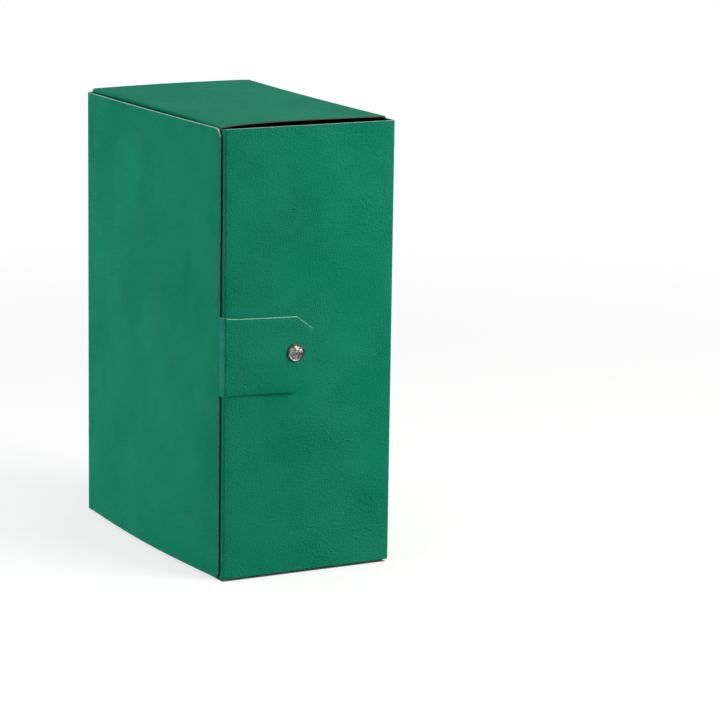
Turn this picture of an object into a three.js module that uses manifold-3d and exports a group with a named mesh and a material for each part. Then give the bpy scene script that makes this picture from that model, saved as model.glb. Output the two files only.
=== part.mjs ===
// A box file of folded card that stands on its lower end. One die-cut sheet makes the case: base panel,
// two end walls with inner flaps, fore-edge wall with its flap, and spine. The cover folds from the spine,
// and a tongue on the cover's free edge snaps to the fore-edge wall. Two more press studs hold the flaps.
// Millimetres, +Z up. The cover faces -X, the base panel +X, the fore-edge wall -Y and the spine +Y.

import * as THREE from "three";
import { mergeVertices } from "three/addons/utils/BufferGeometryUtils.js";
import Module from "manifold-3d";

const wasm = await Module();
wasm.setup();

// The box over its outer faces, and the card that it is folded from.
const boxThickness = 147;
const boxDepth = 250;
const boxHeight = 350;
const board = 1.2;

// Clearances between sheets: side by side at a hinged fold, and face to face.
const foldGap = 0.3;
const layerGap = 0.4;

// Outer radii of the folds, and how many flats a fold and a panel's rounded corner have.
const spineFold = 2.5;
const foreEdgeFold = 4.5;
const endFold = 2.5;
const endFlapFold = 3.5;
const foldSteps = 4;
const cornerSteps = 6;

// Cover, fore-edge wall and spine stop this far below the outer faces of the end walls.
const edgeStep = 1.8;
const coverCornerRadius = 10;
const coverSetback = 4.5;
const foldLip = 0.5;

// The end walls stop short of the fore-edge wall and of the spine.
const foreEdgeOpening = 15;
const spineClearance = 0.5;
const endFlapWidth = 75;

// The flap of the fore-edge wall, over the two end flaps.
const foreFlapWidth = 75;
const foreFlapInset = 2;
const foreFlapCornerRadius = 12;

// Tongue on the cover: its reach along the fore-edge wall, its width and its slanted corners.
const tongueReach = 75;
const tongueWidth = 60.5;
const tongueSlantAlong = 13;
const tongueSlantAcross = 9.5;

// Press studs: the closing one from the tongue's tip, the others from the box's ends and the flap's edge.
const closingStudFromTip = 14;
const cornerStudFromEnd = 38;
const cornerStudFromFlapEdge = 21;
const snapHeight = 3;
const seatGap = 0.2;
const barrelRadius = 1.7;
const barrelBore = 1.1;
const barrelFit = 0.3;
const barrelDepth = 0.7;
const flangeHeight = 0.6;
const eyeletRadius = 6;
const eyeletBevel = 0.3;
const studBaseRadius = 5.2;
const studHeadRadius = 2.7;
const studNeckRadius = 2.4;
const studHeight = 1.9;
const studHeadHeight = 0.7;
const studSkin = 0.4;
const socketRadius = 5.5;
const socketBevel = 0.4;
const socketFit = 0.3;
const capRadius = 7.2;
const capHeight = 2.1;
const capRimHeight = 0.5;
const domeSteps = 4;
const roundSegments = 24;

// A drill reaches this far past both faces of its sheet, short of the next sheet.
const drillPast = 1;
const drillLength = 2 * (board + drillPast);
const holeRadius = barrelRadius + barrelFit;
const upright = new THREE.Vector3(0, 0, 1);
const middleHeight = boxHeight / 2;

// Planes of the sheets that lie on each other behind the cover, from its outer face inwards.
const foreFlapFace = board + seatGap + flangeHeight + foldGap;
const endFlapFace = foreFlapFace + board + layerGap;

// A sheet held by a press stud leans away from the one below, from its fold to the stud.
const closingStudAlong = tongueReach - closingStudFromTip;
const tongueLean = (snapHeight - layerGap) / closingStudAlong;
const endFlapLean = (snapHeight - layerGap) / cornerStudFromEnd;
const cornerStudDepth = foreFlapWidth - cornerStudFromFlapEdge;

const green = { color: 0x0b7a5d, roughness: 0.45, metalness: 0 };
const steel = { color: 0xb9bcbb, roughness: 0.3, metalness: 0.9 };

const along = (x, y) => new THREE.Vector2(x, y);
const heading = (from, to) => to.clone().sub(from).normalize();
const rightOf = (direction) => along(direction.y, -direction.x);
const leftOf = (direction) => along(-direction.y, direction.x);

// A fold to the right at one corner of a sheet's outer face: its centre, its angle, and the way in from the
// face where it starts.
function foldAt(from, corner, to, radius) {
  const before = heading(from, corner);
  const turn = Math.acos(before.dot(heading(corner, to)));
  const start = corner.clone().addScaledVector(before, -radius * Math.tan(turn / 2));
  const inward = rightOf(before);
  return { centre: start.addScaledVector(inward, radius), turn, inward };
}

// The way in from the outer face, part of the way round a fold.
function inwardAt(fold, share) {
  return fold.inward.clone().rotateAround(along(0, 0), -fold.turn * share);
}

// Closed outline of a folded sheet, from the corners of its outer face and the outer radius of each fold.
function sheetOutline(corners, radii) {
  const faces = [{ outer: corners[0], inward: rightOf(heading(corners[0], corners[1])) }];
  radii.forEach((radius, index) => {
    const fold = foldAt(corners[index], corners[index + 1], corners[index + 2], radius);
    for (let step = 0; step <= foldSteps; step += 1) {
      const inward = inwardAt(fold, step / foldSteps);
      faces.push({ outer: fold.centre.clone().addScaledVector(inward, -radius), inward });
    }
  });
  const last = corners.length - 1;
  faces.push({ outer: corners[last], inward: rightOf(heading(corners[last - 1], corners[last])) });
  const outside = faces.map((face) => face.outer);
  const inside = faces.map((face) => face.outer.clone().addScaledVector(face.inward, board));
  return new THREE.Shape([...outside, ...inside.reverse()]);
}

function extrude(shape, length) {
  return new THREE.ExtrudeGeometry(shape, { depth: length, bevelEnabled: false, curveSegments: cornerSteps });
}

// An outline drawn in plan, extruded upwards between two heights.
function extrudeUp(shape, low, high) {
  return extrude(shape, high - low).translate(0, 0, low);
}

// An outline drawn in X and Z, extruded along Y.
function extrudeAcross(shape, low, high) {
  return extrude(shape, high - low).rotateX(Math.PI / 2).translate(0, high, 0);
}

// An outline drawn in Y and Z, extruded along X.
function extrudeThrough(shape, low, high) {
  const turned = new THREE.Matrix4().makeBasis(
    new THREE.Vector3(0, 1, 0),
    upright,
    new THREE.Vector3(1, 0, 0),
  );
  return extrude(shape, high - low).applyMatrix4(turned).translate(low, 0, 0);
}

function solidOf(geometry) {
  geometry.deleteAttribute("normal");
  geometry.deleteAttribute("uv");
  const merged = mergeVertices(geometry);
  return new wasm.Manifold(
    new wasm.Mesh({
      numProp: 3,
      vertProperties: new Float32Array(merged.attributes.position.array),
      triVerts: new Uint32Array(merged.index.array),
    }),
  );
}

function geometryOf(solid) {
  const mesh = solid.getMesh();
  const geometry = new THREE.BufferGeometry();
  geometry.setAttribute("position", new THREE.BufferAttribute(mesh.vertProperties, 3));
  geometry.setIndex(new THREE.BufferAttribute(mesh.triVerts, 1));
  geometry.computeVertexNormals();
  return geometry;
}

// A panel in Y and Z from its fold to its free edge, whose two corners are rounded.
function panelOutline(fold, free, low, high, radius) {
  const side = Math.sign(free - fold);
  const sideways = side > 0 ? 0 : Math.PI;
  const centre = free - side * radius;
  const shape = new THREE.Shape();
  shape.moveTo(fold, low);
  shape.lineTo(centre, low);
  shape.absarc(centre, low + radius, radius, -Math.PI / 2, -sideways, side < 0);
  shape.absarc(centre, high - radius, radius, sideways, Math.PI / 2, side < 0);
  shape.lineTo(fold, high);
  return shape;
}

// Where a press stud sits: a point on the face of a sheet, and the direction out of that face.
const closingStud = {
  at: new THREE.Vector3(closingStudAlong, 0, middleHeight),
  out: new THREE.Vector3(0, -1, 0),
};
const closingSocket = {
  at: new THREE.Vector3(closingStudAlong, -snapHeight, middleHeight),
  out: new THREE.Vector3(-tongueLean, -1, 0).normalize(),
};
const cornerStuds = ["lower", "upper"].map((name, index) => {
  const height = index === 0 ? cornerStudFromEnd : boxHeight - cornerStudFromEnd;
  const lean = index === 0 ? -endFlapLean : endFlapLean;
  const flapFace = foreFlapFace + board;
  return {
    name,
    stud: {
      at: new THREE.Vector3(flapFace, cornerStudDepth, height),
      out: new THREE.Vector3(1, 0, 0),
    },
    socket: {
      at: new THREE.Vector3(flapFace + snapHeight, cornerStudDepth, height),
      out: new THREE.Vector3(1, 0, lean).normalize(),
    },
  };
});

function drill({ at, out }) {
  const turn = new THREE.Quaternion().setFromUnitVectors(new THREE.Vector3(0, 1, 0), out);
  const bit = new THREE.CylinderGeometry(holeRadius, holeRadius, drillLength, roundSegments);
  return solidOf(bit.applyQuaternion(turn).translate(at.x, at.y, at.z));
}

// The case is three strips joined: round the base and sides, over the ends, and the fore-edge flap.
function caseGeometry() {
  const sides = [
    along(spineFold + foldLip + foldGap, boxDepth),
    along(boxThickness, boxDepth),
    along(boxThickness, 0),
    along(foreFlapFace, 0),
    along(foreFlapFace, foreEdgeFold + foldLip),
  ];
  const around = extrudeUp(
    sheetOutline(sides, [spineFold, foreEdgeFold, foreEdgeFold]),
    edgeStep,
    boxHeight - edgeStep,
  );
  const flapEdge = endFlapFace + endFlapLean * endFlapWidth;
  const ends = [
    along(flapEdge, boxHeight - endFlapWidth),
    along(endFlapFace, boxHeight),
    along(boxThickness, boxHeight),
    along(boxThickness, 0),
    along(endFlapFace, 0),
    along(flapEdge, endFlapWidth),
  ];
  const over = extrudeAcross(
    sheetOutline(ends, [endFlapFold, endFold, endFold, endFlapFold]),
    foreEdgeOpening,
    boxDepth - board - spineClearance,
  );
  const foreFlapEnd = edgeStep + foreFlapInset;
  const foreFlap = extrudeThrough(
    panelOutline(foreEdgeFold, foreFlapWidth, foreFlapEnd, boxHeight - foreFlapEnd, foreFlapCornerRadius),
    foreFlapFace,
    foreFlapFace + board,
  );
  const places = [closingStud, ...cornerStuds.flatMap(({ stud, socket }) => [stud, socket])];
  const holes = places.map(drill);
  const sheet = solidOf(around).add(solidOf(over)).add(solidOf(foreFlap));
  return geometryOf(holes.reduce((left, hole) => left.subtract(hole), sheet));
}

// Half of space, on one side of an upright plane with half the fold gap to spare.
function sideOf(point, direction) {
  const half = new THREE.BoxGeometry(boxHeight, boxHeight, boxHeight);
  half.translate((boxHeight + foldGap) / 2, 0, 0).rotateZ(direction.angle());
  return solidOf(half.translate(point.x, point.y, middleHeight));
}

// From its tip the tongue runs along the wall, then round the corner and on to the cover.
const tongueRootFace = layerGap + board;
const tongueFold = tongueRootFace + coverSetback - foldLip;
const tongueCorners = [
  along(tongueReach, -tongueRootFace - tongueLean * tongueReach),
  along(0, -tongueRootFace),
  along(0, coverSetback + foldLip),
];

// The tongue hinges on the outer face at the middle of its fold.
const tongueBend = foldAt(...tongueCorners, tongueFold);
const tongueHingeInward = inwardAt(tongueBend, 1 / 2);
const tongueHinge = tongueBend.centre.clone().addScaledVector(tongueHingeInward, -tongueFold);
const towardsCover = leftOf(tongueHingeInward);

function tongueStrip() {
  const low = middleHeight - tongueWidth / 2;
  const high = middleHeight + tongueWidth / 2;
  const outline = new THREE.Shape([
    along(-board, low),
    along(tongueReach - tongueSlantAlong, low),
    along(tongueReach, low + tongueSlantAcross),
    along(tongueReach, high - tongueSlantAcross),
    along(tongueReach - tongueSlantAlong, high),
    along(-board, high),
  ]);
  const keep = solidOf(extrudeAcross(outline, -boxDepth, boxDepth));
  return solidOf(extrudeUp(sheetOutline(tongueCorners, [tongueFold]), low, high)).intersect(keep);
}

function tongueGeometry() {
  const free = tongueStrip().intersect(sideOf(tongueHinge, towardsCover.clone().negate()));
  return geometryOf(free.subtract(drill(closingSocket)));
}

// The cover carries the rounded fold to the spine, and the root of the tongue up to the tongue's hinge.
function coverGeometry() {
  const low = edgeStep;
  const high = boxHeight - edgeStep;
  const folded = sheetOutline(
    [along(0, coverSetback), along(0, boxDepth), along(spineFold + foldLip, boxDepth)],
    [spineFold],
  );
  const outline = panelOutline(boxDepth + board, coverSetback, low, high, coverCornerRadius);
  const keep = solidOf(extrudeThrough(outline, -board, spineFold + board));
  const root = tongueStrip().intersect(sideOf(tongueHinge, towardsCover));
  return geometryOf(solidOf(extrudeUp(folded, low, high)).intersect(keep).add(root));
}

function turned(profile) {
  const points = profile.map(([radius, height]) => along(radius, height));
  return new THREE.LatheGeometry(points, roundSegments);
}

// Turned parts stand on Y, whose zero is the mating face of their sheet. Each profile runs anticlockwise.
// The eyelet's flange lies behind the stud's sheet, and its barrel goes through into the stud.
function eyeletProfile() {
  const face = -board - seatGap;
  const foot = face - flangeHeight;
  return [
    [barrelBore, foot],
    [eyeletRadius - eyeletBevel, foot],
    [eyeletRadius, foot + eyeletBevel],
    [eyeletRadius, face],
    [barrelRadius, face],
    [barrelRadius, barrelDepth],
    [barrelBore, barrelDepth],
    [barrelBore, foot],
  ];
}

function studProfile() {
  const shoulder = seatGap + flangeHeight;
  return [
    [0, studHeight - studSkin],
    [holeRadius, studHeight - studSkin],
    [holeRadius, seatGap],
    [studBaseRadius, seatGap],
    [studBaseRadius, shoulder - eyeletBevel],
    [studNeckRadius, shoulder],
    [studHeadRadius, studHeight - studHeadHeight],
    [studHeadRadius, studHeight - studSkin],
    [studNeckRadius, studHeight],
    [0, studHeight],
  ];
}

// The socket hangs from its sheet and takes the stud's head.
function socketProfile() {
  const rim = seatGap + flangeHeight + foldGap - snapHeight;
  const floor = -seatGap - flangeHeight;
  const bore = studHeadRadius + socketFit;
  return [
    [bore, floor],
    [bore, rim],
    [socketRadius - socketBevel, rim],
    [socketRadius, rim + socketBevel],
    [socketRadius, -seatGap],
    [holeRadius, -seatGap],
    [holeRadius, floor],
    [bore, floor],
  ];
}

function capProfile() {
  const seat = board + seatGap;
  const rise = capHeight - capRimHeight;
  const dome = [];
  for (let step = 0; step < domeSteps; step += 1) {
    const angle = ((Math.PI / 2) * step) / domeSteps;
    dome.push([capRadius * Math.cos(angle), seat + capRimHeight + rise * Math.sin(angle)]);
  }
  return [
    [0, -barrelDepth],
    [barrelRadius, -barrelDepth],
    [barrelRadius, seat],
    [capRadius - eyeletBevel, seat],
    ...dome,
    [0, seat + capHeight],
  ];
}

const boxFile = new THREE.Group();

function addPiece(name, geometry, look) {
  const mesh = new THREE.Mesh(geometry, new THREE.MeshStandardMaterial(look));
  mesh.name = name;
  boxFile.add(mesh);
  return mesh;
}

function addTurned(name, profile, { at, out }) {
  const mesh = addPiece(name, turned(profile), steel);
  mesh.quaternion.setFromUnitVectors(new THREE.Vector3(0, 1, 0), out);
  mesh.position.copy(at);
}

function addPressStud(name, stud, socket) {
  addTurned(`${name}_eyelet`, eyeletProfile(), stud);
  addTurned(`${name}_stud`, studProfile(), stud);
  addTurned(`${name}_socket`, socketProfile(), socket);
  addTurned(`${name}_cap`, capProfile(), socket);
}

addPiece("case", caseGeometry(), green);
addPiece("cover", coverGeometry(), green);
addPiece("tongue", tongueGeometry(), green);
addPressStud("closing", closingStud, closingSocket);
cornerStuds.forEach(({ name, stud, socket }) => addPressStud(name, stud, socket));

// The origin is the middle of the whole box's underside.
const bounds = new THREE.Box3().setFromObject(boxFile, true);
const middle = bounds.getCenter(new THREE.Vector3());
boxFile.position.set(-middle.x, -middle.y, -bounds.min.z);

export default boxFile;
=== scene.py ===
# Looks of the box file: folded sheets of grained green card, three press studs, and a pale studio.

import math

import bmesh
import bpy
from mathutils import Matrix, Vector


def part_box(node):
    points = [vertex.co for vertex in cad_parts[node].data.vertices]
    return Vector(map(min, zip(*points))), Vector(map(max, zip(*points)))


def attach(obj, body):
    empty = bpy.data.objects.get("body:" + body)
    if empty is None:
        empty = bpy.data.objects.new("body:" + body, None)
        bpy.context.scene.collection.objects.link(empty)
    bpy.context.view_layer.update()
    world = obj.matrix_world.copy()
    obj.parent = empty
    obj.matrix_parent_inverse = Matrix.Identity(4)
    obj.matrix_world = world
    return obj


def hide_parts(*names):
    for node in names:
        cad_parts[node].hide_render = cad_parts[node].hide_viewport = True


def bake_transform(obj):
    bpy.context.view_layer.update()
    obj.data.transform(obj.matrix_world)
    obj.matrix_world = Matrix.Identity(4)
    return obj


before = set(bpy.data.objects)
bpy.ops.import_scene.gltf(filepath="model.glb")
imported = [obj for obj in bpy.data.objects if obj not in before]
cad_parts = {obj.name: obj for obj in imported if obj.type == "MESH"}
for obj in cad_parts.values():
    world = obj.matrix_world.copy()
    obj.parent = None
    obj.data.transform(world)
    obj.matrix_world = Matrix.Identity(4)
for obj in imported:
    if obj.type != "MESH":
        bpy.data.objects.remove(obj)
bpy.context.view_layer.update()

MM = 0.001

# Sizes of the box in millimetres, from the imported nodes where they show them. The sheets are drawn from
# CORNER: x goes from the cover's face to the base panel, y from the fore-edge wall to the spine, z up.
CORNER = Vector((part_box("cover")[0][0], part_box("case")[0][1], 0))
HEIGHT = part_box("case")[1][2] / MM
DEPTH = (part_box("case")[1][1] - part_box("case")[0][1]) / MM
THICKNESS = (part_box("case")[1][0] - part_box("cover")[0][0]) / MM
SHEET_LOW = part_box("cover")[0][2] / MM
SHEET_HIGH = HEIGHT - SHEET_LOW
CARD = 1.2
SHEET_GAP = 0.4

# The case: its folds, flaps and end walls, and where an end wall stops short of the fore-edge wall
# (END_OPENING), of the fold at the spine (END_SLIT) and of the spine itself (END_BACK), which its back
# edge nears over END_TAPER. Edges within SLIT_REACH of a slit's end are folded ones.
SPINE_FOLD = 2.5
FORE_FOLD = 1.8
END_FOLD = 2.5
END_FLAP_FOLD = 2.2
FORE_FLAP_FACE = (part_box("case")[0][0] - CORNER.x) / MM
END_FLAP_FACE = FORE_FLAP_FACE + CARD + SHEET_GAP
FLAP_WIDTH = 75
FLAP_CORNER = 12
FLAP_INSET = 2
END_OPENING = 15
END_SLIT = 1
SPINE_CLEARANCE = 0.5
END_BACK = DEPTH - CARD - SPINE_CLEARANCE
END_TAPER = 3 * END_FOLD
END_TAPER_START = 0.3
SLIT_REACH = 1.5

# The cover and its tongue, whose flat ends BEND_MARGIN before the bend of its fold.
COVER_SETBACK = 4.5
COVER_TOP_CORNER = 8
COVER_BOTTOM_CORNER = 5
TONGUE_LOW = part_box("tongue")[0][2] / MM
TONGUE_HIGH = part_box("tongue")[1][2] / MM
TONGUE_REACH = (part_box("tongue")[1][0] - CORNER.x) / MM
TONGUE_ROOT = 1.6
TONGUE_CREASE = (2.1, -1.7)
TONGUE_FOLDS = (1.2, 2.5)
TONGUE_SHOULDER = 0.7
TONGUE_WAIST = 0.8
TONGUE_SAG = 2
TONGUE_SLANT_ALONG = 13
TONGUE_SLANT_ACROSS = 9.5
BEND_MARGIN = 1

# The press studs, and how two sheets lean away from each other to make room for them.
STUD_FROM_TIP = 14
STUD_FROM_END = 38
STUD_DEPTH = 54
SNAP_HEIGHT = 3
TONGUE_LEAN = (SNAP_HEIGHT - SHEET_GAP) / (TONGUE_REACH - STUD_FROM_TIP)
END_FLAP_LEAN = (SNAP_HEIGHT - SHEET_GAP) / STUD_FROM_END

# Fineness of the pieces: longest cell, flats in a fold, steps in a round corner, least distance to a set
# mark, flats in the softened cut edge, flats round a press stud, and angles that look sharp.
CELL = 7
FOLD_FLATS = 10
CORNER_STEPS = 5
MARK_SPACING = 0.6
EDGE_FLATS = 2
STUD_FLATS = 72
SHEET_SHARP = math.radians(35)
STUD_SHARP = math.radians(38)

# What counts as no length, as on an edge, and as square to an axis (share of a direction along it).
TOLERANCE = 1e-4
ON_EDGE = 0.1
SQUARE_ON = 0.9

# Softened cut edges, and the creased groove in the folds that are tighter than the spine's.
EDGE_SOFTNESS = 0.3
CREASE_DEPTH = 0.4
CREASE_WIDTH = 0.7

# How far each panel bows, since card is never flat. The top end wall rises towards its back corner and
# sinks at the cover's front corner.
COVER_BOW_TOP = 1.4
COVER_BOW_BOTTOM = 5.2
BASE_BOW = 2.0
SIDE_BOW = 0.7
TOP_BOW = 0.7
TOP_BACK_LIFT = 0.9
TOP_CORNER_LIFT = 1.5
TOP_FRONT_SAG = 3.2
TOP_SAG_REACH = 16
TOP_SAG_DEPTH = 90

# Painted light: cut edges that face up this much are lighter, a painted highlight, and the tongue's fold,
# but for its margins, is whitened by wear and lighter still with a painted highlight.
EDGE_HIGHLIGHT_FROM = 0.3
FOLD_WEAR_AND_HIGHLIGHT_MARGIN = 0.2


def smooth(share):
    """Eases from 0 to 1."""
    share = min(1, max(0, share))
    return share * share * (3 - 2 * share)


def hump(share):
    """Rises from 0 to 1 at the half and falls again."""
    return math.sin(math.pi * min(1, max(0, share)))


# Nodes of the materials

WHITE = (1, 1, 1, 1)


def fill_inputs(tree, node, inputs):
    """Gives each of the inputs a plain value or the output of another node."""
    for key, value in inputs.items():
        if isinstance(value, bpy.types.NodeSocket):
            tree.links.new(value, node.inputs[key])
        else:
            node.inputs[key].default_value = value


def add_node(tree, kind, inputs, **settings):
    """Adds a node with its settings and its inputs."""
    node = tree.nodes.new(kind)
    for key, value in settings.items():
        setattr(node, key, value)
    fill_inputs(tree, node, inputs)
    return node


def calculate(tree, operation, *values, **settings):
    """The result of one sum on plain values or outputs."""
    inputs = dict(enumerate(values))
    return add_node(tree, "ShaderNodeMath", inputs, operation=operation, **settings).outputs["Value"]


def object_place(tree):
    return add_node(tree, "ShaderNodeTexCoord", {}).outputs["Object"]


def noise(tree, scale, detail, roughness=0.5):
    inputs = {"Vector": object_place(tree), "Scale": scale, "Detail": detail, "Roughness": roughness}
    return add_node(tree, "ShaderNodeTexNoise", inputs).outputs["Fac"]


def pebbles(tree, scale, smoothness):
    inputs = {"Vector": object_place(tree), "Scale": scale, "Smoothness": smoothness}
    return add_node(tree, "ShaderNodeTexVoronoi", inputs, feature="SMOOTH_F1").outputs["Distance"]


def remap(tree, value, old, new, **settings):
    """Takes a value from the old (low, high) to the new one."""
    inputs = {"Value": value, "From Min": old[0], "From Max": old[1], "To Min": new[0], "To Max": new[1]}
    return add_node(tree, "ShaderNodeMapRange", inputs, **settings).outputs["Result"]


def ramp(tree, source, low, high):
    """Goes from one colour to another; low and high are each (position, color)."""
    node = add_node(tree, "ShaderNodeValToRGB", {"Fac": source})
    for element, (position, color) in zip(node.color_ramp.elements, (low, high)):
        element.position = position
        element.color = (*color, 1)
    return node.outputs["Color"]


def bumps(tree, layers):
    """Bumps on top of each other, from (height, strength, distance in metres)."""
    below = {}
    for height, strength, distance in layers:
        inputs = {"Height": height, "Strength": strength, "Distance": distance, **below}
        bump = add_node(tree, "ShaderNodeBump", inputs)
        below = {"Normal": bump.outputs["Normal"]}
    return bump.outputs["Normal"]


# Materials

# Scales of their textures, per metre: a higher one is finer.
CARD_CLOUDS = 22
CARD_PATCHES = 16
CARD_WAVES = 28
CARD_FIBRES = 420
CARD_PEBBLES = 1150
BOARD_FIBRES = 900
METAL_CLOUDS = 420
METAL_SCRATCHES = 2600

# How much the laminate mirrors, and the span of the noises that its tones and its grain spread over.
CARD_GLOSS = 0.025
CARD_SPAN = (0.35, 0.65)


def new_material(name):
    material = bpy.data.materials.new(name)
    material.use_nodes = True
    return material, material.node_tree, material.node_tree.nodes["Principled BSDF"]


def card_material(name, low, high, grain, roughness):
    """Laminated card: two close greens in slow clouds, and an embossed leather grain of small pebbles."""
    material, tree, shader = new_material(name)
    clouds = noise(tree, CARD_CLOUDS, 5, 0.6)
    fibres = noise(tree, CARD_FIBRES, 4, 0.65)
    depth = remap(tree, noise(tree, CARD_PATCHES, 2), CARD_SPAN, (grain * 0.5, grain * 1.2))
    layers = [
        (noise(tree, CARD_WAVES, 1), 0.35, 0.0012),
        (fibres, depth, 0.0006),
        (pebbles(tree, CARD_PEBBLES, 0.6), depth, 0.0005),
    ]
    inputs = {
        "Base Color": ramp(tree, clouds, (CARD_SPAN[0], low), (CARD_SPAN[1], high)),
        "Roughness": remap(tree, fibres, (0, 1), (roughness - 0.05, roughness + 0.07)),
        "Specular IOR Level": CARD_GLOSS,
        "Normal": bumps(tree, layers),
    }
    fill_inputs(tree, shader, inputs)
    return material


def board_material(name, low, high):
    """Cut edge of the card, with the fibres of the cut across it."""
    material, tree, shader = new_material(name)
    fibres = noise(tree, BOARD_FIBRES, 3, 0.7)
    inputs = {
        "Base Color": ramp(tree, fibres, (0.3, low), (0.7, high)),
        "Roughness": 0.8,
        "Normal": bumps(tree, [(fibres, 0.4, 0.0001)]),
    }
    fill_inputs(tree, shader, inputs)
    return material


def metal_material(name, light, dark, roughness):
    """Nickel-plated pressed metal, slightly dulled in small clouds."""
    material, tree, shader = new_material(name)
    clouds = noise(tree, METAL_CLOUDS, 3, 0.6)
    inputs = {
        "Base Color": ramp(tree, clouds, (0.4, dark), (0.58, light)),
        "Metallic": 1,
        "Roughness": remap(tree, clouds, (0, 1), (roughness, roughness + 0.16)),
        "Normal": bumps(tree, [(noise(tree, METAL_SCRATCHES, 2), 0.5, 0.00003)]),
    }
    fill_inputs(tree, shader, inputs)
    return material


OUTER = card_material("green_grained_card", (0.003, 0.158, 0.091), (0.007, 0.180, 0.104), 1.1, 0.66)
INNER = card_material("green_inner_card", (0.0015, 0.148, 0.094), (0.003, 0.168, 0.106), 0.3, 0.66)
# Whitened by folding, and lighter and bluer still with a painted highlight of the rounded fold.
FOLD_WEAR_AND_HIGHLIGHT = card_material("green_fold_wear_and_highlight", (0.010, 0.19, 0.125), (0.034, 0.25, 0.175), 0.9, 0.6)
# The cut board's own tone, for cut edges that face sideways and for the softened corners.
BOARD = board_material("cut_board", (0.12, 0.105, 0.09), (0.26, 0.235, 0.20))
# Painted shade: a darker copy of the cut board, for the case's cut edges that don't face up.
EDGE_SHADE = board_material("board_painted_shade", (0.035, 0.032, 0.026), (0.08, 0.074, 0.06))
# Painted highlight: a lighter copy of the cut board, for cut edges that face up.
EDGE_HIGHLIGHT = board_material("board_painted_highlight", (0.16, 0.27, 0.21), (0.42, 0.56, 0.47))
NICKEL = metal_material("nickel_plate", (0.25, 0.24, 0.235), (0.045, 0.042, 0.042), 0.34)
# Painted shade: a dark copy of the nickel for the cap's rim, standing in for the shadow round the cap.
RIM_SHADE_NICKEL = metal_material("nickel_rim_painted_shade", (0.07, 0.065, 0.066), (0.02, 0.018, 0.019), 0.42)
SHEET_MATERIALS = [OUTER, INNER, BOARD, EDGE_HIGHLIGHT, EDGE_SHADE, FOLD_WEAR_AND_HIGHLIGHT]
OUTER_SLOT, INNER_SLOT, BOARD_SLOT, EDGE_HIGHLIGHT_SLOT, EDGE_SHADE_SLOT, FOLD_WEAR_AND_HIGHLIGHT_SLOT = range(len(SHEET_MATERIALS))


def new_piece(name, mesh, materials):
    """Puts a bmesh into the scene as an object, and frees it."""
    data = bpy.data.meshes.new(name)
    mesh.to_mesh(data)
    mesh.free()
    for material in materials:
        data.materials.append(material)
    data.shade_smooth()
    piece = bpy.data.objects.new(name, data)
    bpy.context.scene.collection.objects.link(piece)
    return piece


# Paths of the folds, drawn over the outer face as in the source of the part


class Path:
    """An outer face seen along its folds: straight runs and arcs that turn right, by length along it.
    Each run is (begin, span, start, direction at the start, radius, turn)."""

    def __init__(self, corners, radii):
        self.runs = []
        self.length = 0
        corners = [Vector(corner) for corner in corners]
        at = corners[0]
        for index, radius in enumerate(radii):
            before = (corners[index + 1] - corners[index]).normalized()
            after = (corners[index + 2] - corners[index + 1]).normalized()
            turn = math.acos(max(-1, min(1, before.dot(after))))
            reach = radius * math.tan(turn / 2)
            self._straight(at, corners[index + 1] - before * reach)
            self._arc(corners[index + 1] - before * reach, before, radius, turn)
            at = corners[index + 1] + after * reach
        self._straight(at, corners[-1])

    def _straight(self, start, end):
        length = (end - start).length
        if length > TOLERANCE:
            self.runs.append((self.length, length, start, (end - start).normalized(), 0, 0))
            self.length += length

    def _arc(self, start, before, radius, turn):
        self.runs.append((self.length, radius * turn, start, before, radius, turn))
        self.length += radius * turn

    def at(self, length):
        """Outer point and the way in, at a length along the path."""
        for begin, span, start, before, radius, turn in self.runs:
            if length <= begin + span + TOLERANCE:
                break
        inward = Vector((before.y, -before.x))
        share = min(1, max(0, (length - begin) / span))
        if not radius:
            return start + before * (span * share), inward
        centre = start + inward * radius
        angle = -turn * share
        cos, sin = math.cos(angle), math.sin(angle)
        inward = Vector((inward.x * cos - inward.y * sin, inward.x * sin + inward.y * cos))
        return centre - inward * radius, inward

    def sunk(self, length):
        """Depth of the creased groove along the middle of each fold that is tighter than the spine's."""
        depth = 0
        for begin, span, _start, _before, radius, _turn in self.runs:
            if 0 < radius < SPINE_FOLD:
                depth += CREASE_DEPTH * math.exp(-(((length - begin - span / 2) / CREASE_WIDTH) ** 2))
        return depth

    def stations(self, extra=()):
        """Marks along the path, close together in its folds."""
        marks = {0.0, self.length}
        for begin, span, _start, _before, radius, _turn in self.runs:
            count = FOLD_FLATS if radius else max(1, math.ceil(span / CELL))
            marks.update(begin + span * step / count for step in range(count + 1))
        return merge_marks(marks, extra)


def merge_marks(marks, extra):
    """Sorted marks with the extra ones in place of any that lie close to them."""
    kept = [mark for mark in marks if all(abs(mark - other) > MARK_SPACING for other in extra)]
    result = []
    for mark in sorted([*kept, *extra]):
        if not result or mark - result[-1] > TOLERANCE:
            result.append(mark)
    return result


def even_marks(low, high, extra=()):
    """Marks from low to high, no more than a cell apart."""
    count = max(1, math.ceil((high - low) / CELL))
    return merge_marks({low + (high - low) * step / count for step in range(count + 1)}, extra)


def corner_marks(edge, radius, inwards):
    """Marks close together across a round corner, from its edge inwards (1 or -1)."""
    return [edge + inwards * radius * step / CORNER_STEPS for step in range(1, CORNER_STEPS + 1)]


def round_corner(along, across, radius):
    """Moves a point of a square corner into a round one; both are distances in from the two edges."""
    if along >= radius or across >= radius:
        return along, across
    a, b = 1 - along / radius, 1 - across / radius
    return (
        radius * (1 - a * math.sqrt(1 - b * b / 2)),
        radius * (1 - b * math.sqrt(1 - a * a / 2)),
    )


# Sheets of card


def nowhere(_place):
    return False


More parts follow.
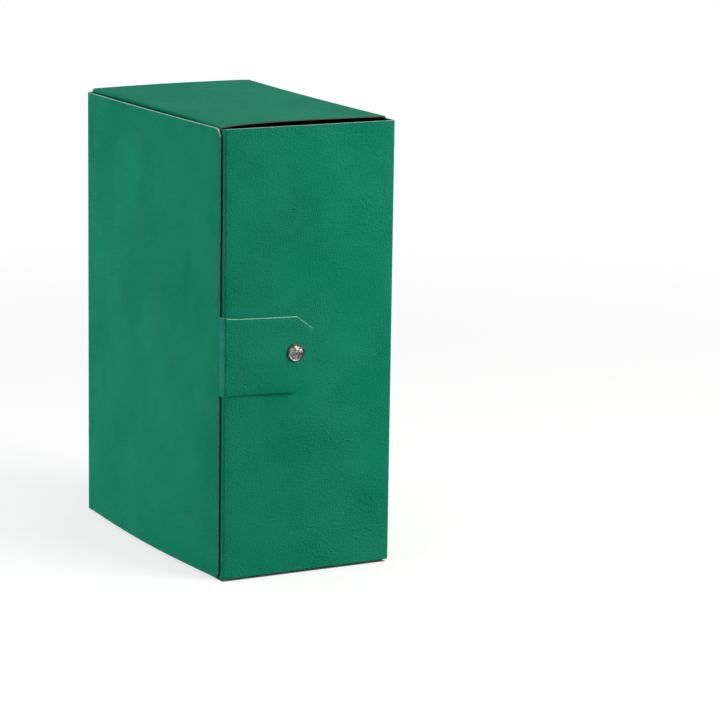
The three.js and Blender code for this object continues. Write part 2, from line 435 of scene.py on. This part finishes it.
class Sheet:
    """A sheet of card built cell by cell on its outer face, then closed by its inner face and its edges."""

    def __init__(self):
        self.points = {}
        self.cells = []

    def point(self, key, place, inward, sunk=0):
        self.points.setdefault(key, (Vector(place), Vector(inward).normalized(), sunk))
        return key

    def grid(self, corner, columns, rows):
        """Cells between points that corner(column, row) gives, for ranges of columns and rows."""
        for column in columns:
            for row in rows:
                first, second = corner(column, row), corner(column, row + 1)
                self.cells.append((first, second, corner(column + 1, row + 1), corner(column + 1, row)))

    def middle(self, keys):
        return sum((self.points[key][0] for key in keys), Vector()) / len(keys)

    def border(self):
        """Pairs of points along the edges that only one cell has."""
        pairs = {}
        for keys in self.cells:
            for first, second in zip(keys, keys[1:] + keys[:1]):
                if (second, first) in pairs:
                    del pairs[second, first]
                else:
                    pairs[first, second] = True
        return pairs

    def build(self, name, joined, side_edges=BOARD_SLOT, fold_wear_and_highlight=nowhere):
        """joined(place) says whether an edge there goes on into a neighbour, so that it isn't a cut one.
        Cut edges that face up take a painted highlight and the others the side_edges material, and the fold
        test finds folds that are whitened by wear and carry a painted highlight."""
        mesh = bmesh.new()
        outer, inner = {}, {}
        for key, (place, inward, sunk) in self.points.items():
            outer[key] = mesh.verts.new(CORNER + (place + inward * sunk) * MM)
            inner[key] = mesh.verts.new(CORNER + (place + inward * CARD) * MM)
        for keys in self.cells:
            face = mesh.faces.new([outer[key] for key in keys])
            # Cells of the whitened fold take its wear and painted highlight.
            face.material_index = FOLD_WEAR_AND_HIGHLIGHT_SLOT if fold_wear_and_highlight(self.middle(keys)) else OUTER_SLOT
            back = mesh.faces.new([inner[key] for key in reversed(keys)])
            back.material_index = INNER_SLOT
        weights = mesh.edges.layers.float.new("bevel_weight_edge")
        for first, second in self.border():
            rim = mesh.faces.new([outer[second], outer[first], inner[first], inner[second]])
            rim.material_index = OUTER_SLOT
            if joined(self.middle((first, second))):
                continue
            rim.normal_update()
            # Cut edges that face up take the painted highlight.
            rim.material_index = EDGE_HIGHLIGHT_SLOT if rim.normal.z > EDGE_HIGHLIGHT_FROM else side_edges
            for side in (outer, inner):
                mesh.edges.get([side[first], side[second]])[weights] = 1
        bmesh.ops.recalc_face_normals(mesh, faces=mesh.faces)
        piece = new_piece(name, mesh, SHEET_MATERIALS)
        soften_cut_edges(piece)
        sort_cut_edges(piece.data)
        piece.data.set_sharp_from_angle(angle=SHEET_SHARP)
        return piece


def soften_cut_edges(piece):
    """Bevels the weighted edges, and bakes that into the mesh."""
    soften = piece.modifiers.new("cut_edges", "BEVEL")
    soften.limit_method = "WEIGHT"
    soften.width = EDGE_SOFTNESS * MM
    soften.segments = EDGE_FLATS
    soften.material = BOARD_SLOT
    soften.use_clamp_overlap = True
    depsgraph = bpy.context.evaluated_depsgraph_get()
    data = bpy.data.meshes.new_from_object(piece.evaluated_get(depsgraph))
    piece.modifiers.clear()
    piece.data = data


def sort_cut_edges(data):
    """Softened corners next to an upper edge take its painted highlight; elsewhere the green wraps round
    them.
    """
    mesh = bmesh.new()
    mesh.from_mesh(data)
    narrow = [
        face
        for face in mesh.faces
        if face.material_index == BOARD_SLOT
        and min(edge.calc_length() for edge in face.edges) < EDGE_SOFTNESS * MM
    ]
    # The painted highlight spreads over the softened flats next to it.
    for _flat in range(EDGE_FLATS):
        highlit = [
            face
            for face in narrow
            if any(other.material_index == EDGE_HIGHLIGHT_SLOT for edge in face.edges for other in edge.link_faces)
        ]
        for face in highlit:
            face.material_index = EDGE_HIGHLIGHT_SLOT
    for face in narrow:
        if face.material_index == BOARD_SLOT:
            face.material_index = OUTER_SLOT
    mesh.to_mesh(data)
    mesh.free()


# The case: its sides, and at each end a wall with its flap


def case_path():
    corners = [
        (SPINE_FOLD, DEPTH),
        (THICKNESS, DEPTH),
        (THICKNESS, 0),
        (FORE_FLAP_FACE, 0),
        (FORE_FLAP_FACE, FLAP_WIDTH),
    ]
    return Path(corners, [SPINE_FOLD, FORE_FOLD, FORE_FOLD])


def end_path():
    """From the top end flap's free edge, over the end wall, to the flat of the base panel."""
    flap_edge = END_FLAP_FACE + END_FLAP_LEAN * FLAP_WIDTH
    corners = [
        (flap_edge, HEIGHT - FLAP_WIDTH),
        (END_FLAP_FACE, HEIGHT),
        (THICKNESS, HEIGHT),
        (THICKNESS, HEIGHT - END_FOLD),
    ]
    return Path(corners, [END_FLAP_FOLD, END_FOLD])


def case_bow(place, inward, height):
    """How far a point of the sides stands out of its flat; the flap stays flat."""
    rise = hump(height / HEIGHT)
    if inward.x < -SQUARE_ON:
        return BASE_BOW * rise * hump(place.y / DEPTH)
    if abs(inward.y) > SQUARE_ON:
        return SIDE_BOW * rise * hump(place.x / THICKNESS)
    return 0


def top_rise(place, depth):
    """How far the top end wall and its flap stand above their flat, nothing at the base panel."""
    across, along = place.x / THICKNESS, depth / DEPTH
    bow = TOP_BOW * hump(across) + TOP_BACK_LIFT * along**2 + TOP_CORNER_LIFT * across * along**3
    sag = TOP_FRONT_SAG * math.exp(-place.x / TOP_SAG_REACH) * smooth(1 - depth / TOP_SAG_DEPTH)
    return bow * smooth((place.y - HEIGHT + FLAP_WIDTH) / FLAP_WIDTH) * end_share(place) - sag


def end_share(place):
    """Fades the rise out where the wall turns down into the base panel."""
    if place.x < THICKNESS / 2:
        return 1
    return smooth((place.y - (HEIGHT - END_FOLD)) / END_FOLD)


class CaseSheet(Sheet):
    """The sides lie in columns of marks along their path and rows of heights; each end adds its steps."""

    def __init__(self):
        super().__init__()
        self.sides = case_path()
        self.over = end_path()
        panel_start = THICKNESS - 2 * SPINE_FOLD + SPINE_FOLD * math.pi / 2
        self.wall_start = panel_start + END_SLIT
        self.wall_end = panel_start + DEPTH - SPINE_FOLD - END_OPENING
        self.flap_start = self.sides.length - (FLAP_WIDTH - FORE_FOLD)
        corners = corner_marks(self.sides.length, FLAP_CORNER, -1)
        self.marks = self.sides.stations(extra=(self.wall_start, self.wall_end, *corners))
        corners = corner_marks(SHEET_LOW, FLAP_CORNER, 1)[1:]
        corners += corner_marks(SHEET_HIGH, FLAP_CORNER, -1)[1:]
        self.heights = [SHEET_LOW, *even_marks(END_FOLD, HEIGHT - END_FOLD, corners), SHEET_HIGH]
        self.steps = self.over.stations()
        self.last_row = len(self.heights) - 2

    def has_wall(self, column):
        """Whether the end walls go on from the base panel between this column and the next."""
        after = self.marks[column + 1]
        return self.wall_start - TOLERANCE < self.marks[column] and after < self.wall_end + TOLERANCE

    def side(self, column, row):
        """A point of the sides. The flap is set in at its ends, and its free corners are round."""
        length, height = self.marks[column], self.heights[row]
        if length > self.flap_start:
            inset = FLAP_INSET * smooth((length - self.flap_start) / FLAP_CORNER)
            across = min(height - SHEET_LOW, SHEET_HIGH - height)
            from_edge, across = round_corner(self.sides.length - length, across, FLAP_CORNER)
            length = self.sides.length - from_edge
            across += inset * (1 - across / (HEIGHT / 2))
            height = SHEET_LOW + across if height < HEIGHT / 2 else SHEET_HIGH - across
        place, inward = self.sides.at(length)
        place = place - inward * case_bow(place, inward, height)
        turned, sunk = (inward.x, inward.y, 0), self.sides.sunk(length)
        return self.point(("side", column, row), (place.x, place.y, height), turned, sunk)

    def end(self, end, column, step):
        """A point of an end wall or its flap, which start at the last row of the sides. The wall's back
        edge comes closer to the spine once it is clear of the fold at the base panel."""
        if step == len(self.steps) - 1:
            return self.side(column, self.last_row if end == "top" else 1)
        place, inward = self.over.at(self.steps[step])
        depth = self.sides.at(self.marks[column])[0].y
        if self.marks[column] < self.wall_start + TOLERANCE:
            depth += (END_BACK - depth) * smooth((THICKNESS - place.x) / END_TAPER - END_TAPER_START)
        height, turned = place.y, inward.y
        if end == "top":
            height += top_rise(place, depth)
        else:
            height, turned = HEIGHT - height, -turned
        return self.point((end, column, step), (place.x, depth, height), (inward.x, 0, turned))

    def add_sides(self):
        """All cells of the sides, but for the outermost rows where an end wall goes on instead."""
        for column in range(len(self.marks) - 1):
            rows = range(1, self.last_row) if self.has_wall(column) else range(self.last_row + 1)
            self.grid(self.side, [column], rows)

    def add_end(self, end):
        """The cells of the wall and the flap at the top or the bottom."""
        for column in filter(self.has_wall, range(len(self.marks) - 1)):
            for step in range(len(self.steps) - 1):
                keys = (
                    self.end(end, column, step),
                    self.end(end, column + 1, step),
                    self.end(end, column + 1, step + 1),
                    self.end(end, column, step + 1),
                )
                self.cells.append(keys if end == "top" else keys[::-1])

    def joined(self, place):
        slits = [self.sides.at(length)[0].y for length in (self.wall_start, self.wall_end)]
        at_slit = any(abs(place.y - slit) < SLIT_REACH for slit in slits)
        by_base = place.x > THICKNESS - 2 * END_FOLD
        near_end = min(place.z, HEIGHT - place.z) < 2 * END_FOLD
        at_spine_fold = place.y > DEPTH - ON_EDGE and place.x < SPINE_FOLD + ON_EDGE
        return (at_slit and by_base and near_end) or at_spine_fold


def build_case():
    sheet = CaseSheet()
    sheet.add_sides()
    sheet.add_end("top")
    sheet.add_end("bottom")
    # The case's cut edges that don't face up take the painted shade.
    return sheet.build("case_sheet", sheet.joined, EDGE_SHADE_SLOT)


# The cover, the tongue and the two folds that move


def build_cover():
    """The cover, which bows out more towards its bottom."""
    sheet = Sheet()
    hinge = DEPTH - SPINE_FOLD
    depths = even_marks(COVER_SETBACK, hinge, corner_marks(COVER_SETBACK, COVER_TOP_CORNER, 1))
    corners = corner_marks(SHEET_LOW, COVER_BOTTOM_CORNER, 1)
    corners += corner_marks(SHEET_HIGH, COVER_TOP_CORNER, -1)
    heights = even_marks(SHEET_LOW, SHEET_HIGH, [*corners, TONGUE_LOW, TONGUE_HIGH])

    def corner(column, row):
        depth, height = depths[column], heights[row]
        from_edge = min(height - SHEET_LOW, SHEET_HIGH - height)
        radius = COVER_BOTTOM_CORNER if height < HEIGHT / 2 else COVER_TOP_CORNER
        inset, from_edge = round_corner(depth - COVER_SETBACK, from_edge, radius)
        depth = COVER_SETBACK + inset
        height = SHEET_LOW + from_edge if height < HEIGHT / 2 else SHEET_HIGH - from_edge
        bow = COVER_BOW_BOTTOM + (COVER_BOW_TOP - COVER_BOW_BOTTOM) * height / HEIGHT
        out = bow * hump((depth - COVER_SETBACK) / (hinge - COVER_SETBACK))
        return sheet.point((column, row), (-out, depth, height), (1, 0, 0))

    def joined(place):
        at_tongue = place.y < COVER_SETBACK + ON_EDGE and TONGUE_LOW < place.z < TONGUE_HIGH
        return at_tongue or place.y > hinge - ON_EDGE

    sheet.grid(corner, range(len(depths) - 1), range(len(heights) - 1))
    return sheet.build("cover_sheet", joined)


def strip(name, path, begin, end, low, high, joined, shape=lambda reach, height: height, fold_wear_and_highlight=nowhere):
    """A sheet along part of a path, between two heights that shape(reach, height) moves up or down."""
    sheet = Sheet()
    marks = path.stations(extra=(begin, end))
    marks = [mark for mark in marks if begin - TOLERANCE <= mark <= end + TOLERANCE]
    heights = even_marks(low, high)

    def corner(column, row):
        place, inward = path.at(marks[column])
        height = shape(place.x, heights[row])
        turned = (inward.x, inward.y, 0)
        return sheet.point((column, row), (place.x, place.y, height), turned, path.sunk(marks[column]))

    sheet.grid(corner, range(len(marks) - 1), range(len(heights) - 1))
    return sheet.build(name, joined, fold_wear_and_highlight=fold_wear_and_highlight)


def tongue_path():
    corners = [
        (TONGUE_REACH, -TONGUE_ROOT - TONGUE_LEAN * TONGUE_REACH),
        TONGUE_CREASE,
        (0, COVER_SETBACK - TONGUE_SHOULDER),
        (0, COVER_SETBACK),
    ]
    return Path(corners, TONGUE_FOLDS)


def tongue_shape(reach, height):
    """Draws a height in to the tongue's waist and slanted tip, and lets it sag towards the tip."""
    middle, half = (TONGUE_LOW + TONGUE_HIGH) / 2, (TONGUE_HIGH - TONGUE_LOW) / 2
    past = max(0, reach - (TONGUE_REACH - TONGUE_SLANT_ALONG))
    drawn_in = half - TONGUE_WAIST * smooth(reach / TONGUE_SLANT_ALONG)
    drawn_in -= TONGUE_SLANT_ACROSS * past / TONGUE_SLANT_ALONG
    return middle + (height - middle) * drawn_in / half - TONGUE_SAG * max(0, reach) / TONGUE_REACH


def build_tongue():
    """The tongue's flat, its fold as a strip of its own, and the point where the two meet."""
    path = tongue_path()
    bend = path.runs[0][1] - BEND_MARGIN
    root = path.at(bend)[0]

    def flat_joined(place):
        return place.x < root.x + ON_EDGE

    def fold_joined(place):
        return place.x > root.x - ON_EDGE or place.y > COVER_SETBACK - ON_EDGE

    # The tongue's fold, but for its margins, is whitened by wear and carries a painted highlight.
    def fold_wear_and_highlight(place):
        return FOLD_WEAR_AND_HIGHLIGHT_MARGIN < place.x < TONGUE_CREASE[0] - FOLD_WEAR_AND_HIGHLIGHT_MARGIN

    heights = (TONGUE_LOW, TONGUE_HIGH)
    flat = strip("tongue_sheet", path, 0, bend, *heights, flat_joined, tongue_shape)
    fold = strip("tongue_fold_strip", path, bend, path.length, *heights, fold_joined, tongue_shape, fold_wear_and_highlight)
    return flat, fold, root


def build_spine_fold():
    path = Path([(0, DEPTH - SPINE_FOLD), (0, DEPTH), (SPINE_FOLD, DEPTH)], [SPINE_FOLD])

    def joined(place):
        return SHEET_LOW + ON_EDGE < place.z < SHEET_HIGH - ON_EDGE

    return strip("spine_fold_strip", path, 0, path.length, SHEET_LOW, SHEET_HIGH, joined)


# Press studs


def arc(centre, radii, start, end, steps):
    """Points of an elliptical arc in (radius, height), angles in degrees."""
    points = []
    for step in range(steps + 1):
        angle = math.radians(start + (end - start) * step / steps)
        points.append((centre[0] + radii[0] * math.cos(angle), centre[1] + radii[1] * math.sin(angle)))
    return points


# Profiles of the pressed metal: (radius, height) in millimetres from the axis and from the face of the
# sheet that meets the other one. Beyond CAP_RIM the cap is darker, a painted shade for the shadow round it.
CAP_RIM = 6.1

# Domed cap: rolled rim, a low groove, and two plain rings round a flat middle.
CAP = [
    (0, 0.3),
    (1.7, 0.3),
    (1.7, CARD),
    (5.6, CARD),
    (5.75, CARD + 0.3),
    *arc((6.45, CARD + 0.85), (0.75, 0.5), -90, 100, 12),
    (6.05, CARD + 1.2),
    (5.85, CARD + 1.05),
    *arc((0, CARD + 0.3), (5.8, 1.6), 28, 62, 8),
    (2.62, CARD + 1.78),
    (2.45, CARD + 1.6),
    (2.2, CARD + 1.58),
    (2.02, CARD + 1.8),
    (1.2, CARD + 1.95),
    (0, CARD + 2.0),
]

# Rolled ring behind the stud's sheet, with its barrel going in and a floor inside the barrel.
EYELET = [
    (0, -0.35),
    (1.15, -0.4),
    (1.3, -CARD - 0.2),
    (1.7, -CARD - 0.52),
    (2.3, -CARD - 0.6),
    *arc((5.35, -CARD - 0.3), (0.65, 0.3), -90, 90, 8),
    (1.7, -CARD),
    (1.7, 0.7),
    (0, 0.7),
]

# Flat collar, and a post with a bulging head that snaps into the socket.
STUD = [
    (0, 0.05),
    (5.0, 0.05),
    *arc((5.0, 0.25), (0.2, 0.2), -90, 90, 6),
    (3.4, 0.6),
    (2.6, 0.85),
    (2.4, 1.1),
    *arc((2.3, 1.5), (0.42, 0.38), -50, 90, 8),
    (1.2, 1.9),
    (0.9, 1.75),
    (0, 1.72),
]

# Low ring with a round hollow for the stud's head.
SOCKET = [
    (0, -0.05),
    (0, -0.55),
    (2.9, -0.6),
    (3.0, -1.75),
    *arc((3.25, -1.85), (0.25, 0.25), 180, 270, 5),
    *arc((4.9, -1.6), (0.5, 0.5), -90, 0, 5),
    (5.5, -0.5),
    (5.45, -0.05),
]

PRESSED = {"eyelet": EYELET, "stud": STUD, "socket": SOCKET, "cap": CAP}


def turned_ring(mesh, radius, height):
    """The vertices round one point of a profile, or a single one on the axis."""
    if radius < TOLERANCE:
        return [mesh.verts.new((0, 0, height * MM))]
    ring = []
    for step in range(STUD_FLATS):
        angle = 2 * math.pi * step / STUD_FLATS
        place = (radius * MM * math.cos(angle), radius * MM * math.sin(angle), height * MM)
        ring.append(mesh.verts.new(place))
    return ring


def turned_piece(name, profile, at, out, rim_shade_from):
    """A closed turned piece from (radius, height) points, standing on its sheet's mating face."""
    mesh = bmesh.new()
    rings = [turned_ring(mesh, radius, height) for radius, height in profile]
    for first, second in zip(rings, rings[1:] + rings[:1]):
        for step in range(STUD_FLATS):
            after = (step + 1) % STUD_FLATS
            corners = [first[step % len(first)], first[after % len(first)]]
            corners += [second[after % len(second)], second[step % len(second)]]
            corners = list(dict.fromkeys(corners))
            if len(corners) > 2:
                face = mesh.faces.new(corners)
                middle = face.calc_center_median()
                # Faces beyond the given radius take the painted shade.
                face.material_index = int(math.hypot(middle.x, middle.y) > rim_shade_from * MM)
    bmesh.ops.recalc_face_normals(mesh, faces=mesh.faces)
    turn = Vector((0, 0, 1)).rotation_difference(Vector(out)).to_matrix().to_4x4()
    mesh.transform(Matrix.Translation(CORNER + Vector(at) * MM) @ turn)
    piece = new_piece(name, mesh, [NICKEL, RIM_SHADE_NICKEL])
    piece.data.set_sharp_from_angle(angle=STUD_SHARP)
    return piece


def build_press_stud(name, stud, socket, stud_body, socket_body):
    """Four pieces; stud and socket are each (place, way out) of the sheet's face that meets the other."""
    for kind, profile in PRESSED.items():
        at, out = stud if kind in ("eyelet", "stud") else socket
        # Only the cap's rim takes the painted shade.
        rim_shade_from = CAP_RIM if kind == "cap" else math.inf
        piece = turned_piece(f"{name}_{kind}_metal", profile, at, out, rim_shade_from)
        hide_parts(f"{name}_{kind}")
        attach(piece, stud_body if kind in ("eyelet", "stud") else socket_body)


# The pieces on their bodies


case_sheet = build_case()
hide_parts("case")
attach(case_sheet, "case")
cover_sheet = build_cover()
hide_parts("cover")
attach(cover_sheet, "cover")
tongue_sheet, tongue_strip, tongue_root = build_tongue()
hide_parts("tongue")
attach(tongue_sheet, "tongue")
spine_strip = build_spine_fold()
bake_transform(tongue_strip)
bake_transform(spine_strip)

stud_along = TONGUE_REACH - STUD_FROM_TIP
build_press_stud(
    "closing",
    ((stud_along, 0, HEIGHT / 2), (0, -1, 0)),
    ((stud_along, -SNAP_HEIGHT, HEIGHT / 2), (-TONGUE_LEAN, -1, 0)),
    "case",
    "tongue",
)
flap_back = FORE_FLAP_FACE + CARD
for corner_name, stud_height, lean in (
    ("lower", STUD_FROM_END, -END_FLAP_LEAN),
    ("upper", HEIGHT - STUD_FROM_END, END_FLAP_LEAN),
):
    build_press_stud(
        corner_name,
        ((flap_back, STUD_DEPTH, stud_height), (1, 0, 0)),
        ((flap_back + SNAP_HEIGHT, STUD_DEPTH, stud_height), (1, 0, lean)),
        "case",
        "case",
    )


# Studio: a white floor that keeps the shadow, soft lamps and an even world. Near the box the floor is a
# lit grey with a glow on top, and from FADE_FROM to FADE_TO metres away it turns into plain white.

FLOOR_SIZE = 6
FADE_FROM = 0.5
FADE_TO = 1.5
FLOOR_GREY = 0.30
FLOOR_GLOW = 0.67
PAST_BASE = -0.0025
# The unglowing strip beyond the spine is a painted contact shadow.
SHADOW_PAST_SPINE = 0.004
WORLD_TINT = (0.95, 0.98, 1, 1)
WORLD_STRENGTH = 0.3


def background_rays(tree):
    """One for the rays that show the background: seen straight, in metal or through something."""
    rays = add_node(tree, "ShaderNodeLightPath", {})
    total = rays.outputs["Is Camera Ray"]
    for kind in ("Is Glossy Ray", "Is Transmission Ray"):
        total = calculate(tree, "ADD", total, rays.outputs[kind], use_clamp=True)
    return total


def floor_fade(tree, reach, near, far):
    """A value that goes from near the object to far away, so that the lit floor ends in plain white."""
    return remap(tree, reach, (FADE_FROM, FADE_TO), (near, far), interpolation_type="SMOOTHSTEP")


def outside_footprint(tree, place):
    """One on the open floor and nothing under the box, so that no white shines in through its slits.
    The dark part stops PAST_BASE short of the base panel and goes SHADOW_PAST_SPINE beyond the spine, where
    the floor without its glow is a painted contact shadow."""
    split = add_node(tree, "ShaderNodeSeparateXYZ", {"Vector": place})
    low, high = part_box("case")
    sides = []
    for axis, past in ((0, PAST_BASE), (1, SHADOW_PAST_SPINE)):
        middle, half = (low[axis] + high[axis] + past) / 2, (high[axis] - low[axis] + past) / 2
        sides.append(calculate(tree, "COMPARE", split.outputs[axis], middle, half))
    return calculate(tree, "SUBTRACT", 1, calculate(tree, "MULTIPLY", *sides))


def build_floor():
    mesh = bmesh.new()
    bmesh.ops.create_grid(mesh, x_segments=1, y_segments=1, size=FLOOR_SIZE)
    material, tree, shader = new_material("studio_floor_white")
    place = object_place(tree)
    reach = add_node(tree, "ShaderNodeVectorMath", {0: place}, operation="LENGTH").outputs["Value"]
    glow = calculate(tree, "MULTIPLY", background_rays(tree), floor_fade(tree, reach, FLOOR_GLOW, 1))
    inputs = {
        "Base Color": floor_fade(tree, reach, FLOOR_GREY, 0),
        "Roughness": 0.9,
        "Specular IOR Level": 0,
        "Emission Color": WHITE,
        "Emission Strength": calculate(tree, "MULTIPLY", glow, outside_footprint(tree, place)),
    }
    fill_inputs(tree, shader, inputs)
    floor = new_piece("studio_floor", mesh, [material])


def build_world():
    world = bpy.data.worlds.new("studio")
    bpy.context.scene.world = world
    world.use_nodes = True
    tree = world.node_tree
    tree.nodes.clear()
    light = add_node(tree, "ShaderNodeBackground", {"Color": WORLD_TINT, "Strength": WORLD_STRENGTH})
    white = add_node(tree, "ShaderNodeBackground", {"Color": WHITE})
    shades = {"Fac": background_rays(tree), 1: light.outputs["Background"], 2: white.outputs["Background"]}
    mix = add_node(tree, "ShaderNodeMixShader", shades)
    add_node(tree, "ShaderNodeOutputWorld", {"Surface": mix.outputs["Shader"]})


def build_lamp(name, place, target, size, power, color):
    lamp = bpy.data.lights.new(name, "AREA")
    lamp.color = color
    lamp.shape = "SQUARE"
    lamp.size = size
    lamp.energy = power
    holder = bpy.data.objects.new(name, lamp)
    bpy.context.scene.collection.objects.link(holder)
    holder.location = place
    holder.rotation_euler = (Vector(target) - Vector(place)).to_track_quat("-Z", "Y").to_euler()


# Camera, fitted to the photographed edges of the box; VIEW_DISTANCE and VIEW_TARGET are in millimetres

VIEW_AZIMUTH = math.radians(-28.614)
VIEW_ELEVATION = math.radians(11.622)
VIEW_ROLL = math.radians(0.868)
VIEW_DISTANCE = 2490.2
VIEW_TARGET = (119.04, 0, 163.47)
VIEW_END = 50
FOCAL_PIXELS = 3227.6
IMAGE_PIXELS = 720
SENSOR = 36


def build_camera():
    level = math.cos(VIEW_ELEVATION)
    across, along = math.sin(VIEW_AZIMUTH) * level, math.cos(VIEW_AZIMUTH) * level
    back = Vector((across, -along, math.sin(VIEW_ELEVATION)))
    right = Vector((0, 0, 1)).cross(back).normalized()
    up = back.cross(right)
    cos, sin = math.cos(VIEW_ROLL), math.sin(VIEW_ROLL)
    right, up = right * cos + up * sin, up * cos - right * sin
    data = bpy.data.cameras.new("photo_view")
    data.sensor_width = SENSOR
    data.lens = FOCAL_PIXELS / IMAGE_PIXELS * SENSOR
    data.clip_end = VIEW_END
    camera = bpy.data.objects.new("photo_view", data)
    bpy.context.scene.collection.objects.link(camera)
    place = CORNER + (Vector(VIEW_TARGET) + back * VIEW_DISTANCE) * MM
    camera.matrix_world = Matrix.Translation(place) @ Matrix((right, up, back)).transposed().to_4x4()
    bpy.context.scene.camera = camera


build_floor()
build_world()
build_lamp("key_lamp", (0.9, -1.15, 0.85), (0, 0, 0.28), size=1.2, power=34, color=(1, 0.985, 0.94))
build_lamp("left_lamp", (-1.0, 0.25, 0.05), (0, 0, 0), size=0.8, power=15.8, color=(0.88, 1, 1))
build_lamp("top_lamp", (0, 0, 2.4), (0, 0, 0.2), size=1.4, power=20, color=(1, 1, 0.96))
build_camera()

bpy.context.scene.view_settings.view_transform = "Standard"
